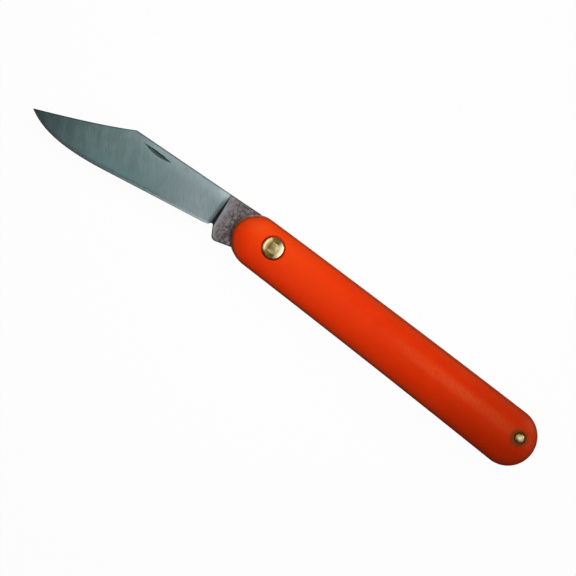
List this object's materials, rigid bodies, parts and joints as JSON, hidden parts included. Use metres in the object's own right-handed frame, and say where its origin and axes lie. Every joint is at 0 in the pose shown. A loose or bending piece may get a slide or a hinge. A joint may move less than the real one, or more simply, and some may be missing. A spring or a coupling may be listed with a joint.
{
  "type": "grafting knife",
  "caption": "Folding slip-joint grafting knife with a straight-backed clip-point blade, a nail nick, brass liners and rounded orange plastic handle scales held by brass pins.",
  "frame": {"origin": "on the flat strip along the far scale, half way along the handle, where the knife rests when it lies on its far side", "axes": "the open knife lies on its side: +X along the handle from the pivot to the butt, +Y to the handle's back where the spring is, +Z along the pivot out of the near side"},
  "size_m": [0.1611, 0.0188, 0.0098],
  "materials": {
    "scale_plastic": "satin moulded orange-red plastic",
    "blade_steel": "cross-ground satin, with an unpolished tang",
    "spring_steel": "unpolished, ground along its back",
    "liner_brass": "rolled sheet",
    "pin_brass": "peened ends",
    "washer_brass": "turned and dished"
  },
  "bodies": {
    "handle": {"scale_near": "scale_plastic", "scale_far": "scale_plastic", "liner_near": "liner_brass", "liner_far": "liner_brass", "pivot_pin": "pin_brass", "pivot_washer_near": "washer_brass", "pivot_washer_far": "washer_brass", "rear_pin": "pin_brass", "spring_pin": "pin_brass"},
    "blade": {"blade": "blade_steel"},
    "spring": {"back_spring": "spring_steel"}
  },
  "joints": [
    {"name": "blade_pivot", "type": "hinge", "parent": "handle", "child": "blade", "pos_m": [-0.042, 0.00132, 0.0049], "axis": [0, 0, 1], "range_deg": [0, 166.5], "deforming": ["back_spring"]},
    {"name": "spring_flex", "type": "hinge", "parent": "handle", "child": "spring", "pos_m": [-0.004, 0.00552, 0.0049], "axis": [0, 0, -1], "range_deg": [0, 1.3], "stiffness_Nm_per_rad": 1}
  ]
}
